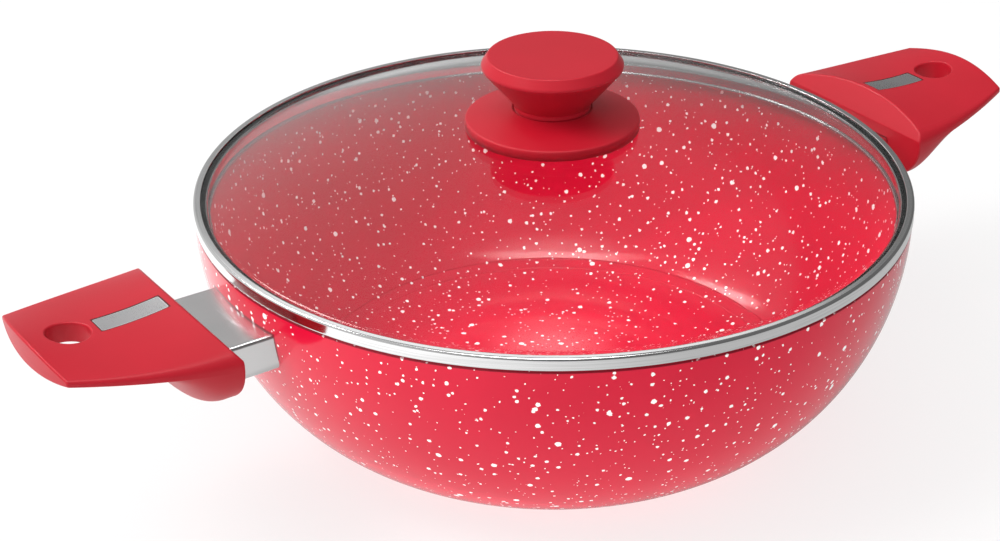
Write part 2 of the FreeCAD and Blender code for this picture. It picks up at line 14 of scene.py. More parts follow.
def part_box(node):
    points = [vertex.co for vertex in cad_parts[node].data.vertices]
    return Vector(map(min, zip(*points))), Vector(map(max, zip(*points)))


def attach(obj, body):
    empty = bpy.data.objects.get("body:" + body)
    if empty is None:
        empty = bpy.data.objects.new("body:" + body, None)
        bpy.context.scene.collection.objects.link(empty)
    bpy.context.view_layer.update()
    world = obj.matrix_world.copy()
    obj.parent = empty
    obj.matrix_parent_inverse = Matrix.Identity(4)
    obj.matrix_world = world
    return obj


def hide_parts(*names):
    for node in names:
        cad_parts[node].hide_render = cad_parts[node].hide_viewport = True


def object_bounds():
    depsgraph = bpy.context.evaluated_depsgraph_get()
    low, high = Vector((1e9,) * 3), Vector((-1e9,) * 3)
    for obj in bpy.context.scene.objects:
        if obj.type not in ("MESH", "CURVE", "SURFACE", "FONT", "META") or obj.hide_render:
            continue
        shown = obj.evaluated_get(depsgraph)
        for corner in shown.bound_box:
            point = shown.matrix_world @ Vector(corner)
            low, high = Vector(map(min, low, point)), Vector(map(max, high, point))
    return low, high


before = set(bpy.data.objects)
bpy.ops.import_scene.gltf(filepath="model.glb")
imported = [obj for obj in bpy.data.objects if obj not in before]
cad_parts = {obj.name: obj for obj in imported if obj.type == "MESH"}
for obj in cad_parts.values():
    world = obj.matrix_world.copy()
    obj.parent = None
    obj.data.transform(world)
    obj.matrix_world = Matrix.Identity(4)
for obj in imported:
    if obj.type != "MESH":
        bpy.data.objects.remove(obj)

bl_info = {
    "name": "Wok with glass lid",
    "version": (1, 0, 0),
    "blender": (4, 5, 0),
    "location": "3D View > Sidebar > Wok",
    "description": "Builds the bowl, lid, knob and handles of a wok, with their finishes and a studio",
    "category": "Object",
}

CAD_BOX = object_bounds()
MM = 0.001
TURN = 2 * math.pi
SECTORS = 192             # facets round a turned piece
ARC_STEPS = 7             # points along a rounded corner
SUPPORT = 0.3 * MM        # extra ring beside a rounded corner, which keeps flats flat in shading
WALL_POINTS = 72          # points down the bowl's wall
DOME_POINTS = 26          # points across the glass

WHITE = (1.0, 1.0, 1.0)
BLACK = (0.0, 0.0, 0.0)
MIDDLE = (0.5, 0.5, 0.5)  # of a noise's colour, and of a lamp's face
LEVEL = (1.0, 1.0, 0.0)   # times a place, drops its height

# flecks, in millimetres: cell, smallest and biggest radius, share of empty cells, width of the edge
FLECKS = (
    (7.0, 0.80, 1.30, 0.50, 0.12),
    (3.9, 0.48, 0.85, 0.30, 0.10),
    (2.4, 0.26, 0.44, 0.42, 0.08),
)
WOBBLE = 0.7 * MM         # how far the outline of a fleck strays
WOBBLE_SIZE = 0.9 * MM    # and over what length
# beside the guards, what lies within this share of the wall from the rim's radius is the wall's outside
OUTER_SHARE = 0.6
STREAK = 0.25 * MM        # width of a streak in the metals
SENSOR = 36.0             # width of the camera's sensor, in millimetres

LIGHT_SIDE = (-0.75, 0.66, 0.0)    # level direction towards the light
FLOOR_SIDE = (-0.90, 0.43, 0.0)    # level direction in which the floor is bright
LIGHT_FROM = (-0.60, 0.20, 0.77)   # direction that most of the soft light comes from
SKY_FADE = (-0.3, 0.9)             # from dim to bright, as a share along LIGHT_SIDE
SOFT_FADE = (-0.6, 1.0)            # the same along LIGHT_FROM
SIDE_FADE = (-0.15, 0.30)          # from dim to bright floor, along FLOOR_SIDE
LIFT_FADE = (0.05, 0.24)           # radii over which the floor's own light fades out
UNDER_FADE = (0.08, 0.20)          # radii over which the floor seen in shiny surfaces comes out of the dark
FAR_FADE = (0.5, 1.2)              # radii over which it passes into the sky
FLOOR_DEPTH = 2 * MM

BOWL_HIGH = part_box("wok_bowl")[1]
RIM_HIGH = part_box("lid_rim")[1]
BASE_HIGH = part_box("knob_base")[1]
GRIP_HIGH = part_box("knob_grip")[1]
PLATE_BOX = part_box("right_handle_plate")
GUARD_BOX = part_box("right_flame_guard")


# ---------------------------------------------------------------- settings

def length(name, description, default):
    """A size in metres."""
    return FloatProperty(name=name, description=description, default=default, min=0.0,
                         subtype="DISTANCE", unit="LENGTH", precision=4)


def share(name, description, default, high=1.0):
    """A plain number from nothing up to a limit."""
    return FloatProperty(name=name, description=description, default=default, min=0.0, max=high,
                         subtype="FACTOR")


def colour(name, description, default):
    """A colour in linear red, green and blue."""
    return FloatVectorProperty(name=name, description=description, default=default, size=3,
                               min=0.0, max=1.0, subtype="COLOR")


def power(name, description, default):
    """A lamp's watts."""
    return FloatProperty(name=name, description=description, default=default, min=0.0,
                         subtype="POWER", unit="POWER")


class BowlSettings(bpy.types.PropertyGroup):
    """Sizes and colours of the coated bowl."""
    rim_radius: length("Rim radius", "Outside radius at the rim", BOWL_HIGH.y)
    height: length("Height", "Base to rim", BOWL_HIGH.z)
    base_radius: length("Base radius", "Where the flat base runs into the wall", 71.1 * MM)
    wall_drop: length("Wall drop", "Length of the wall's upright tangent below the rim", 53.8 * MM)
    base_run: length("Base run", "Length of the wall's level tangent outside the base", 33.4 * MM)
    wall: length("Wall", "Wall thickness", 3.2 * MM)
    floor: length("Floor", "Floor thickness", 4.6 * MM)
    crease_out: length("Crease", "Inside crease, outside the base", 27.4 * MM)
    ledge_width: length("Ledge width", "Sloping ledge between wall and floor", 5.0 * MM)
    ledge_drop: length("Ledge drop", "Drop across that ledge", 2.4 * MM)
    flat_floor_in: length("Flat floor", "Edge of the flat floor, inside the base", 6.1 * MM)
    crease_step: length("Crease step", "Height of the pressed step at the crease", 0.45 * MM)
    step_round: length("Step rounding", "Radius of that step's two edges", 0.7 * MM)
    foot_step: length("Foot step", "Height of the step at the ledge's foot", 0.25 * MM)
    foot_round: length("Foot rounding", "Radius of that step's two edges", 0.5 * MM)
    rim_round: length("Rim rounding", "Radius of the rim's two edges", 0.8 * MM)
    base_ring: length("Base ring", "Width of the ring that the wok stands on", 15.1 * MM)
    base_recess: length("Base recess", "Depth inside that ring", 0.5 * MM)
    groove_width: length("Groove width", "Width of the turned grooves in the base", 1.6 * MM)
    groove_depth: length("Groove depth", "Depth of those grooves", 0.4 * MM)
    groove_count: IntProperty(name="Grooves", description="Turned grooves in the base", default=3,
                              min=0)
    red: colour("Coating", "Colour of the coating", (0.62, 0.003, 0.032))
    deep_red: colour("Coating, deep", "Colour where it is thicker", (0.585, 0.0027, 0.029))
    fleck: colour("Flecks", "Colour of the flecks in the coating", (1.0, 0.98, 0.97))
    fleck_scale: share("Fleck scale", "Size of the flecks", 1.0, 10.0)
    # painted shadow: a dark band in the coating under the lid's rim and round the flame guards' feet,
    # standing in for their shade
    seam: length("Seam", "Width of the dark seam under the lid and round the flame guards", 0.8 * MM)
    painted_shadow_colour: colour("Seam colour", "Colour of that seam", (0.05, 0.0, 0.003))
    painted_shadow_depth: share("Seam depth", "How much of the coating that colour covers", 0.7)
    metal: colour("Base metal", "Colour of the turned aluminium base", (0.74, 0.74, 0.75))
    bare_edge: length("Bare edge", "Coated border round the base's bare metal", 1.5 * MM)


class LidSettings(bpy.types.PropertyGroup):
    """Sizes and colours of the glass and its steel rim."""
    outside: length("Rim outside", "Outside radius of the steel rim", RIM_HIGH.y)
    top: length("Rim top", "Height of the steel rim's top", RIM_HIGH.z)
    strip: length("Strip", "Thickness of the rolled strip", 0.6 * MM)
    band: length("Band", "Height of the outer band", 5.15 * MM)
    flange: length("Flange", "Width of the flange on top of the glass", 3.0 * MM)
    ledge: length("Ledge", "Width of the flange under the glass", 6.4 * MM)
    skirt: length("Skirt", "Depth of the skirt below the bowl's rim", 5.2 * MM)
    curl_reach: length("Curl reach", "Reach of the skirt's curled foot, inside it", 0.9 * MM)
    curl_height: length("Curl height", "Height of that foot", 1.4 * MM)
    curl_round: length("Curl rounding", "Rounding of that foot", 0.6 * MM)
    corner: length("Corner", "Outside radius of the strip's folds", 1.0 * MM)
    glass_gap: length("Glass gap", "Between the glass's edge and the band", 0.4 * MM)
    glass_flat: length("Glass border", "Flat border of the glass", 4.5 * MM)
    dome_rise: length("Dome rise", "Rise of the glass above its border", 25.6 * MM)
    dome_blend: length("Dome blend", "Radius between border and dome", 6.0 * MM)
    glass_hole: length("Glass hole", "Radius of the hole for the knob's screw", 5.0 * MM)
    glass_round: length("Glass edge", "Rounding of the ground edge", 0.9 * MM)
    steel: colour("Steel", "Colour of the polished steel", (0.85, 0.85, 0.85))
    glass: colour("Glass", "Tint of the glass", (0.97, 0.985, 0.98))


class KnobSettings(bpy.types.PropertyGroup):
    """Sizes of the knob's base and grip."""
    base_radius: length("Base radius", "Radius of the disc on the glass", BASE_HIGH.x)
    base_edge: length("Base edge", "Height of the disc's edge above the glass", 3.9 * MM)
    base_rise: length("Base rise", "From that edge up to the grip's seat", 4.1 * MM)
    edge_round: length("Edge rounding", "Rounding of the disc's edge and of the grip's top", 0.8 * MM)
    flare_run: length("Flare run", "Width over which the disc flares up to the stem", 6.5 * MM)
    flare_drop: length("Flare drop", "Height of that flare", 1.1 * MM)
    flare_round: length("Flare rounding", "Radius at the flare's foot", 14.0 * MM)
    groove: length("Groove", "Half width of the groove round the stem's foot", 0.8 * MM)
    groove_depth: length("Groove depth", "Depth of that groove", 0.6 * MM)
    stem_radius: length("Stem radius", "Radius of the stem", 15.0 * MM)
    neck: length("Neck", "Height of the stem's upright part", 2.0 * MM)
    neck_round: length("Neck rounding", "Radius between stem and cone", 1.5 * MM)
    grip_radius: length("Grip radius", "Radius at the grip's widest place", GRIP_HIGH.x)
    grip_round: length("Grip rounding", "Rounding of the widest edge", 1.4 * MM)
    top_radius: length("Top radius", "Radius of the grip's flat top", 25.3 * MM)
    bevel: length("Bevel", "Height of the bevel below the top", 4.1 * MM)
    spigot_radius: length("Spigot radius", "Radius of the spigot under the grip", 10.0 * MM)
    spigot_depth: length("Spigot depth", "Depth of that spigot", 1.5 * MM)
    spigot_gap: length("Spigot gap", "Clearance round the spigot and the screw", 0.4 * MM)
    small_round: length("Small rounding", "Rounding of small edges", 0.3 * MM)
    socket_radius: length("Socket radius", "Radius of the insert's socket", 4.05 * MM)
    socket_depth: length("Socket depth", "Depth of that socket", 11.0 * MM)
    screw_radius: length("Screw radius", "Radius of the screw", 2.5 * MM)
    tip_room: length("Screw room", "Room above the spigot's seat for the screw's tip", 12.5 * MM)


class FinishSettings(bpy.types.PropertyGroup):
    """Colours of the plastics, metals and rubber, and the painted shadow in the narrow slot round the
    plates.
    """
    plastic: colour("Plastic", "Colour of the handles and the knob", (0.455, 0.005, 0.018))
    plastic_deep: colour("Plastic, deep", "Its slow variation", (0.425, 0.005, 0.016))
    steel: colour("Steel", "Colour of the washers and screws", (0.80, 0.80, 0.80))
    guard: colour("Guard", "Colour of the brushed flame guards", (0.74, 0.73, 0.73))
    plate: colour("Plate", "Colour of the plates in the handles", (0.78, 0.77, 0.78))
    aluminium: colour("Aluminium", "Colour of the welded studs", (0.76, 0.76, 0.77))
    brass: colour("Brass", "Colour of the threaded insert", (0.80, 0.58, 0.28))
    rubber: colour("Silicone", "Colour of the gasket", (0.62, 0.61, 0.58))
    # painted shadow: the plastic is darkened in a narrow band round each plate, where the recess is shaded
    gap: length("Plate gap", "Width of the dark gap round the plates", 0.5 * MM)


class StageSettings(bpy.types.PropertyGroup):
    """Floor, light and camera."""
    floor_size: length("Floor size", "Radius of the floor", 6.0)
    floor: colour("Floor", "Colour of the floor", (0.68, 0.68, 0.68))
    floor_seen: share("Floor as background", "Share of the floor's shade that the camera sees", 0.28)
    floor_glow: share("Floor glow", "What the floor adds to that as a background", 0.76)
    floor_lift: share("Floor light", "What the floor under the wok gives of itself", 1.3, 3.0)
    floor_dim: share("Floor, dim side", "Floor that shiny surfaces show to the right", 0.55)
    floor_bright: share("Floor, bright side", "Floor that shiny surfaces show to the left", 1.30, 2.0)
    floor_under: share("Floor, under", "Share of that which they show under the wok", 0.45)
    floor_edge: length("Floor edge", "Radius past which the floor is plain background", 2.0)
    low_sky: share("Light, dim side", "Light from low on the right", 0.30, 2.0)
    high_sky: share("Light, bright side", "Light from high on the left", 1.30, 2.0)
    dim_sky: share("Sky, dim side", "Sky that shiny surfaces show to the right", 0.14)
    bright_sky: share("Sky, bright side", "Sky that shiny surfaces show to the left", 0.70)
    key: power("Key lamp", "Large lamp from the left", 110.0)
    top: power("Top lamp", "Broad lamp overhead", 20.0)
    strip: power("Strip lamp", "Narrow lamp overhead", 26.0)
    back: power("Back lamp", "Narrow lamp over the back left", 40.0)
    window: power("Window", "Small lamp that the front of the glass shows", 1.8)
    inside_left: power("Bowl lamp, left", "Lamp from the back left, for the bowl only", 77.0)
    inside_right: power("Bowl lamp, right", "Lamp from the right, for the bowl only", 30.8)
    below: power("Lower lamp", "Lamp from below, for the bowl only", 75.0)
    rim: power("Rim lamp", "Lamp behind, for the lid's steel rim only", 1.3)
    camera: FloatVectorProperty(name="Camera", description="Place of the camera", size=3,
                                default=(-0.43853, -0.62295, 0.46233), subtype="TRANSLATION",
                                unit="LENGTH")
    azimuth: FloatProperty(name="Azimuth", description="Heading of the camera", unit="ROTATION",
                           subtype="ANGLE", default=math.radians(-33.55))
    elevation: FloatProperty(name="Elevation", description="Height of the camera above the horizon",
                             unit="ROTATION", subtype="ANGLE", default=math.radians(27.94))
    roll: FloatProperty(name="Roll", description="Turn of the camera about its own axis",
                        unit="ROTATION", subtype="ANGLE", default=math.radians(-0.65))
    lens: FloatProperty(name="Focal length", description="Focal length of the camera in millimetres",
                        default=76.314, min=1.0)


# ---------------------------------------------------------------- profiles: arrays of (radius, height)

def rounded(corners, closed=True):
    """Profile through (radius, height, rounding) corners.

    A corner between unit directions a and b is the arc about the point that lies rounding / sin(half
    the angle) along a + b; a support point stands on the straight run beside each end of the arc.
    """
    points = np.array([c[:2] for c in corners], float)
    runs = []
    for i, (_, _, rounding) in enumerate(corners):
        here = points[i]
        inner = closed or 0 < i < len(corners) - 1
        if not rounding or not inner:
            runs.append(here[None])
            continue
        back = points[i - 1] - here
        ahead = points[(i + 1) % len(points)] - here
        back_length = np.linalg.norm(back)
        ahead_length = np.linalg.norm(ahead)
        back = back / back_length
        ahead = ahead / ahead_length
        half = 0.5 * math.acos(np.clip(back @ ahead, -1, 1))
        reach = rounding / math.tan(half)
        middle = (back + ahead) / np.linalg.norm(back + ahead)
        centre = here + middle * rounding / math.sin(half)
        start = here + back * reach - centre
        end = here + ahead * reach - centre
        sweep = math.acos(np.clip(start @ end / rounding ** 2, -1, 1))
        t = np.linspace(0, 1, ARC_STEPS)[:, None]
        arc = centre + (start * np.sin((1 - t) * sweep) + end * np.sin(t * sweep)) / math.sin(sweep)
        before = here + back * min(reach + SUPPORT, (reach + back_length) / 2)
        after = here + ahead * min(reach + SUPPORT, (reach + ahead_length) / 2)
        runs += [before[None], arc, after[None]]
    return np.concatenate(runs)


def bezier(poles, count):
    """Cubic Bezier curve on an array of four poles, and its direction at each point."""
    t = np.linspace(0, 1, count)[:, None]
    p = np.asarray(poles, float)
    place = (1 - t) ** 3 * p[0] + 3 * t * (1 - t) ** 2 * p[1] + 3 * t * t * (1 - t) * p[2] + t ** 3 * p[3]
    slope = (1 - t) ** 2 * (p[1] - p[0]) + 2 * t * (1 - t) * (p[2] - p[1]) + t * t * (p[3] - p[2])
    return place, slope / np.linalg.norm(slope, axis=1, keepdims=True)


def bowl_profile(size):
    """From the middle of the base, out, up the wall, over the rim, and down inside to the floor.

    The outside is a cubic Bezier curve, and the inside is that curve moved in by the wall. A ledge
    and a dish, an arc that meets the flat floor level, end it.
    """
    # base: recess with turned grooves, then the standing ring
    recess_radius = size.base_radius - size.base_ring
    pitch = recess_radius / (size.groove_count + 1)
    edge = SUPPORT / 2
    base = [(0, size.base_recess, 0)]
    for i in range(1, size.groove_count + 1):
        base += [
            (i * pitch, size.base_recess, edge),
            (i * pitch, size.base_recess + size.groove_depth, edge),
            (i * pitch + size.groove_width, size.base_recess + size.groove_depth, edge),
            (i * pitch + size.groove_width, size.base_recess, edge),
        ]
    base += [(recess_radius, size.base_recess, edge), (recess_radius, 0, edge), (size.base_radius, 0, 0)]
    base = rounded(base, closed=False)[:-1]
    # outside, from the base up
    poles = [
        (size.rim_radius, size.height),
        (size.rim_radius, size.height - size.wall_drop),
        (size.base_radius + size.base_run, 0),
        (size.base_radius, 0),
    ]
    outside, along = bezier(poles, WALL_POINTS)
    inside = outside + np.stack([along[:, 1], -along[:, 0]], 1) * size.wall
    # rim: two rounded edges
    rim = rounded([
        (size.rim_radius, size.height - 3 * size.rim_round, 0),
        (size.rim_radius, size.height, size.rim_round),
        (size.rim_radius - size.wall, size.height, size.rim_round),
        (size.rim_radius - size.wall, size.height - 3 * size.rim_round, 0),
    ], closed=False)
    below_rim = outside[:, 1] < size.height - 4 * size.rim_round
    # inside: wall to the crease, ledge, dish and flat floor
    crease_radius = size.base_radius + size.crease_out
    order = np.argsort(inside[:, 0])
    crease = np.array([crease_radius, np.interp(crease_radius, inside[order, 0], inside[order, 1])])
    ledge = crease - np.array([size.ledge_width, size.ledge_drop])
    sill = crease - np.array([size.crease_step / 2, size.crease_step])
    toe = ledge - np.array([size.foot_step / 2, size.foot_step])
    flat_radius = size.base_radius - size.flat_floor_in
    run = toe[0] - flat_radius
    rise = toe[1] - size.floor
    dish_radius = (run * run + rise * rise) / (2 * rise)
    angle = np.linspace(math.asin(run / dish_radius), 0, WALL_POINTS // 3)
    dish = np.stack([flat_radius + dish_radius * np.sin(angle),
                     size.floor + dish_radius * (1 - np.cos(angle))], 1)
    clear = size.ledge_width / 3
    wall = inside[below_rim & (inside[:, 0] > crease_radius + clear)]
    far = dish[dish[:, 0] < ledge[0] - clear]
    return np.concatenate([
        base,
        outside[::-1][below_rim[::-1]],
        rim,
        wall,
        rounded([
            (*wall[-1], 0),
            (*crease, size.step_round),
            (*sill, size.step_round),
            (*ledge, size.foot_round),
            (*toe, size.foot_round),
            (*far[0], 0),
        ], closed=False)[1:-1],
        far,
        np.stack([np.linspace(flat_radius, 0, WALL_POINTS // 4)[1:],
                  np.full(WALL_POINTS // 4 - 1, size.floor)], 1),
    ])


def rim_profile(size):
    """Rolled strip, round its section: band, flange over the glass, ledge under it, and curled skirt."""
    bowl_top = size.top - size.band
    fold = size.corner - size.strip
    band_inside = size.outside - size.strip
    skirt_inside = size.outside - size.ledge
    over = size.top - size.strip
    under = bowl_top + size.strip
    tip = size.strip / 3
    foot = bowl_top - size.skirt
    curl_inside = skirt_inside - size.curl_reach
    return rounded([
        (size.outside, bowl_top, size.corner),
        (size.outside, size.top, size.corner),
        (size.outside - size.flange, size.top, tip),
        (size.outside - size.flange, over, tip / 2),
        (band_inside, over, fold),
        (band_inside, under, fold),
        (skirt_inside, under, size.corner),
        (skirt_inside, foot + size.curl_height, tip / 2),
        (curl_inside, foot + size.curl_height, size.curl_round),
        (curl_inside, foot, size.curl_round),
        (skirt_inside + size.strip, foot, size.curl_round),
        (skirt_inside + size.strip, bowl_top, fold),
    ])


def dome_sphere(size):
    """Radius of the glass's upper sphere, and the height of its centre.

    The sphere through a border of radius b that rises by h has the radius (b^2 + h^2) / 2h.
    """
    border = size.outside - size.strip - size.glass_gap - size.glass_flat
    radius = (border ** 2 + size.dome_rise ** 2) / (2 * size.dome_rise)
    return radius, size.top - size.strip + size.dome_rise - radius


def dome_height(size, away):
    """Height of the glass's upper face at a distance from the axis, or at an array of them."""
    radius, centre = dome_sphere(size)
    return centre + np.sqrt(radius ** 2 - away ** 2)


def dome_run(size, depth):
    """One face of the glass, from its hole to its edge: sphere, blending arc and flat border."""
    radius, centre = dome_sphere(size)
    radius -= depth
    flat = size.top - size.strip - depth
    blend = size.dome_blend
    foot = math.sqrt((radius + blend) ** 2 - (flat + blend - centre) ** 2)
    lean = math.atan2(foot, flat + blend - centre)
    angle = np.linspace(math.asin(size.glass_hole / radius), lean, DOME_POINTS)
    sphere = np.stack([radius * np.sin(angle), centre + radius * np.cos(angle)], 1)
    turn = np.linspace(lean, 0, ARC_STEPS)[1:]
    arc = np.stack([foot - blend * np.sin(turn), flat + blend - blend * np.cos(turn)], 1)
    return np.concatenate([sphere, arc])


def glass_profile(size):
    """Over the glass from the hole to the ground edge, and back under it."""
    thickness = size.band - 2 * size.strip
    upper = dome_run(size, 0)
    lower = dome_run(size, thickness)
    edge = size.outside - size.strip - size.glass_gap
    end = rounded([
        (upper[-1, 0], upper[-1, 1], 0),
        (edge, upper[-1, 1], size.glass_round),
        (edge, lower[-1, 1], size.glass_round),
        (lower[-1, 0], lower[-1, 1], 0),
    ], closed=False)[1:-1]
    return np.concatenate([upper, end, lower[::-1]])


def knob_base_profile(size, lid):
    """From the glass up the disc's edge, over its flare, the groove and the recess, and down the bore."""
    foot = dome_height(lid, size.base_radius)
    rim = foot + size.base_edge
    seat = rim + size.base_rise
    bore = size.screw_radius + size.spigot_gap
    recess = size.spigot_radius + size.spigot_gap
    recess_floor = seat - size.spigot_depth - size.spigot_gap
    above = rounded([
        (size.base_radius, foot, 0),
        (size.base_radius, rim, size.edge_round),
        (size.stem_radius + size.flare_run, seat - size.flare_drop, size.flare_round),
        (size.stem_radius + size.groove, seat, size.small_round),
        (size.stem_radius, seat - size.groove_depth, size.small_round / 3),
        (size.stem_radius - size.groove, seat, size.small_round / 3),
        (recess, seat, size.small_round / 2),
        (recess, recess_floor, size.small_round / 2),
        (bore, recess_floor, size.small_round / 2),
        (bore, dome_height(lid, bore), 0),
    ], closed=False)
    across = np.linspace(bore, size.base_radius, DOME_POINTS // 2)[1:-1]
    return np.concatenate([above, np.stack([across, dome_height(lid, across)], 1)])


def knob_grip_profile(size, lid):
    """From the socket's roof down and out, round the spigot and stem, up the cone and over the top."""
    seat = dome_height(lid, size.base_radius) + size.base_edge + size.base_rise
    spigot = seat - size.spigot_depth
    top = GRIP_HIGH.z
    return rounded([
        (0, spigot + size.tip_room, 0),
        (size.screw_radius, spigot + size.tip_room, size.small_round / 2),
        (size.screw_radius, spigot + size.socket_depth, size.small_round / 2),
        (size.socket_radius, spigot + size.socket_depth, size.small_round / 2),
        (size.socket_radius, spigot, size.small_round / 2),
        (size.spigot_radius, spigot, size.small_round),
        (size.spigot_radius, seat, size.small_round / 2),
        (size.stem_radius, seat, size.small_round),
        (size.stem_radius, seat + size.neck, size.neck_round),
        (size.grip_radius, top - size.bevel, size.grip_round),
        (size.top_radius, top, size.edge_round),
        (0, top, 0),
    ], closed=False)


# ---------------------------------------------------------------- meshes

def revolve(name, profile, sectors=SECTORS):
    """Turned piece: point (i, j) is the profile's point i at angle j about Z.

    Radius and height come from the profile; x = radius cos(angle) and y = radius sin(angle). A profile
    that starts and ends on the axis closes with a fan at each pole, and any other is a closed ring.
    The UV map holds the length along the profile and the share of the turn.
    """
    profile = np.asarray(profile, float)
    poles = profile[0, 0] < 1e-9 and profile[-1, 0] < 1e-9
    body = profile[1:-1] if poles else profile
    rows = len(body)
    angle = np.linspace(0, TURN, sectors, endpoint=False)
    x = body[:, 0, None] * np.cos(angle)
    y = body[:, 0, None] * np.sin(angle)
    z = np.repeat(body[:, 1, None], sectors, 1)
    points = np.stack([x, y, z], 2).reshape(-1, 3)
    steps = np.linalg.norm(np.diff(np.vstack([profile, profile[:1]]), axis=0), axis=1)
    along = np.concatenate([[0], np.cumsum(steps)])
    i = np.arange(rows - 1 if poles else rows)[:, None]
    j = np.arange(sectors)[None]
    below = (i + 1) % rows
    beside = (j + 1) % sectors
    quads = np.stack([i * sectors + j, i * sectors + beside,
                      below * sectors + beside, below * sectors + j], 2).reshape(-1, 4)
    offset = 1 if poles else 0
    low = along[i + offset] + 0 * j
    high = along[i + offset + 1] + 0 * j
    left = 0 * i + j / sectors
    right = 0 * i + (j + 1) / sectors
    uv = np.stack([np.stack([low, left], 2), np.stack([low, right], 2),
                   np.stack([high, right], 2), np.stack([high, left], 2)], 2).reshape(-1, 2)
    corners = [quads.reshape(-1)]
    counts = [np.full(len(quads), 4)]
    if poles:
        first = len(points)
        last = first + 1
        points = np.vstack([points, [0, 0, profile[0, 1]], [0, 0, profile[-1, 1]]])
        j = np.arange(sectors)
        beside = (j + 1) % sectors
        edge = (rows - 1) * sectors
        corners += [np.stack([np.full(sectors, first), beside, j], 1).reshape(-1),
                    np.stack([edge + j, edge + beside, np.full(sectors, last)], 1).reshape(-1)]
        counts += [np.full(2 * sectors, 3)]
        # UV of the fans: three corners, each a length along the profile and a share of the turn
        middle = (j + 0.5) / sectors
        fans = [(0, middle, along[1], (j + 1) / sectors, along[1], j / sectors),
                (along[rows], j / sectors, along[rows], (j + 1) / sectors, along[rows + 1], middle)]
        for a, va, b, vb, c, vc in fans:
            fan = [np.stack([u + 0 * j, v], 1) for u, v in ((a, va), (b, vb), (c, vc))]
            uv = np.vstack([uv, np.stack(fan, 1).reshape(-1, 2)])
    corners = np.concatenate(corners)
    counts = np.concatenate(counts)
    return mesh_object(name, points, corners, counts, uv)


def mesh_object(name, points, corners, counts, uv):
    """Object from point, corner, face-size and UV arrays, with its faces turned outwards.

    The volume is the sum of a . (b x c) over a fan of triangles in each face. Where it is negative the
    faces point inwards, so each face's corners are taken from its last to its first.
    """
    starts = np.cumsum(counts) - counts
    volume = 0.0
    for step in range(1, counts.max() - 1):
        wide = starts[counts > step + 1]
        a, b, c = (points[corners[wide + corner]] for corner in (0, step, step + 1))
        volume += np.einsum("ij,ij->", a, np.cross(b, c))
    if volume < 0:
        flip = np.repeat(2 * starts + counts - 1, counts) - np.arange(len(corners))
        corners = corners[flip]
        uv = uv[flip]
    mesh = bpy.data.meshes.new(name)
    mesh.vertices.add(len(points))
    mesh.vertices.foreach_set("co", points.astype(np.float32).reshape(-1))
    mesh.loops.add(len(corners))
    mesh.loops.foreach_set("vertex_index", corners.astype(np.int32))
    mesh.polygons.add(len(counts))
    mesh.polygons.foreach_set("loop_start", starts.astype(np.int32))
    mesh.polygons.foreach_set("use_smooth", np.ones(len(counts), bool))
    layer = mesh.uv_layers.new(name="Turning")
    layer.uv.foreach_set("vector", uv.astype(np.float32).reshape(-1))
    mesh.update(calc_edges=True)
    mesh.validate()
    piece = bpy.data.objects.new(name, mesh)
    bpy.context.scene.collection.objects.link(piece)
    return piece


# ---------------------------------------------------------------- finishes

def shaded(tint, factor):
    """Colour with each part multiplied by a factor."""
    return tuple(factor * part for part in tint)


